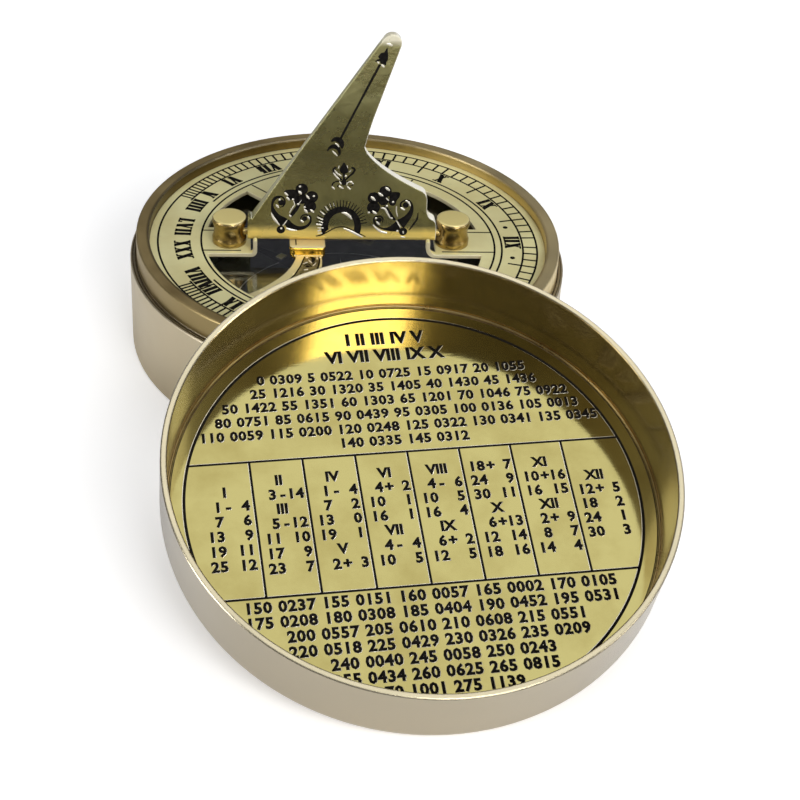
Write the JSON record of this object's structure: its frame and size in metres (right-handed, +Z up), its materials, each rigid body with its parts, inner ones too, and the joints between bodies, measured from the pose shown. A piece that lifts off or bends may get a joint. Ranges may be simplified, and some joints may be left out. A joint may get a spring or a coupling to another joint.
{
  "type": "sundial compass",
  "caption": "Round brass pocket case with a magnetic compass under a pierced sundial plate, a folding triangular gnomon and a lift-off lid shown leaning on the case.",
  "frame": {"origin": "centre of the foot of the case, on its underside", "axes": "+X along the dial's noon line towards XII, +Z up out of the dial; the lid lies towards -Y"},
  "size_m": [0.084, 0.1438, 0.0593],
  "materials": {
    "case_brass": "satin, turned",
    "dial_brass": "satin, silvered",
    "lid_plate_brass": "polished",
    "gnomon_brass": "engraved, polished",
    "fitting_brass": "polished",
    "black_card": "matt black",
    "steel": "ground",
    "blued_steel": "blued",
    "jewel": "polished stone",
    "gasket_rubber": "matt",
    "window_glass": "clear"
  },
  "bodies": {
    "case": {"base_body": "case_brass", "compass_card": "black_card", "degree_ring": "black_card", "card_screws": "fitting_brass", "pivot_boss": "fitting_brass", "pivot_pin": "steel", "glass_gasket": "gasket_rubber", "glass": "window_glass", "plate_seat": "fitting_brass", "dial_plate": "dial_brass", "post_left_pillar": "fitting_brass", "post_right_pillar": "fitting_brass", "post_nuts": "fitting_brass", "hinge_rod": "fitting_brass", "gnomon_stay": "fitting_brass", "stay_rivets": "fitting_brass"},
    "compass_needle": {"needle": "blued_steel", "needle_weight": "fitting_brass", "needle_cap": "fitting_brass", "cap_jewel": "jewel"},
    "folding_gnomon": {"gnomon": "gnomon_brass"},
    "lid": {"lid_shell": "case_brass", "lid_plate": "lid_plate_brass", "lid_ring": "fitting_brass"}
  },
  "joints": [
    {"name": "gnomon_fold", "type": "hinge", "parent": "case", "child": "folding_gnomon", "pos_m": [0, -0.0012, 0.0218], "axis": [-1, 0, 0], "range_deg": [0, 88]},
    {"name": "needle_turn", "type": "hinge", "parent": "case", "child": "compass_needle", "pos_m": [0, 0, 0.0093], "axis": [0, 0, 1], "continuous": true},
    {"name": "lid_lift", "type": "slide", "parent": "case", "child": "lid", "axis": [0.0344, -0.3221, 0.9461], "range_m": [0, 0.03]}
  ]
}
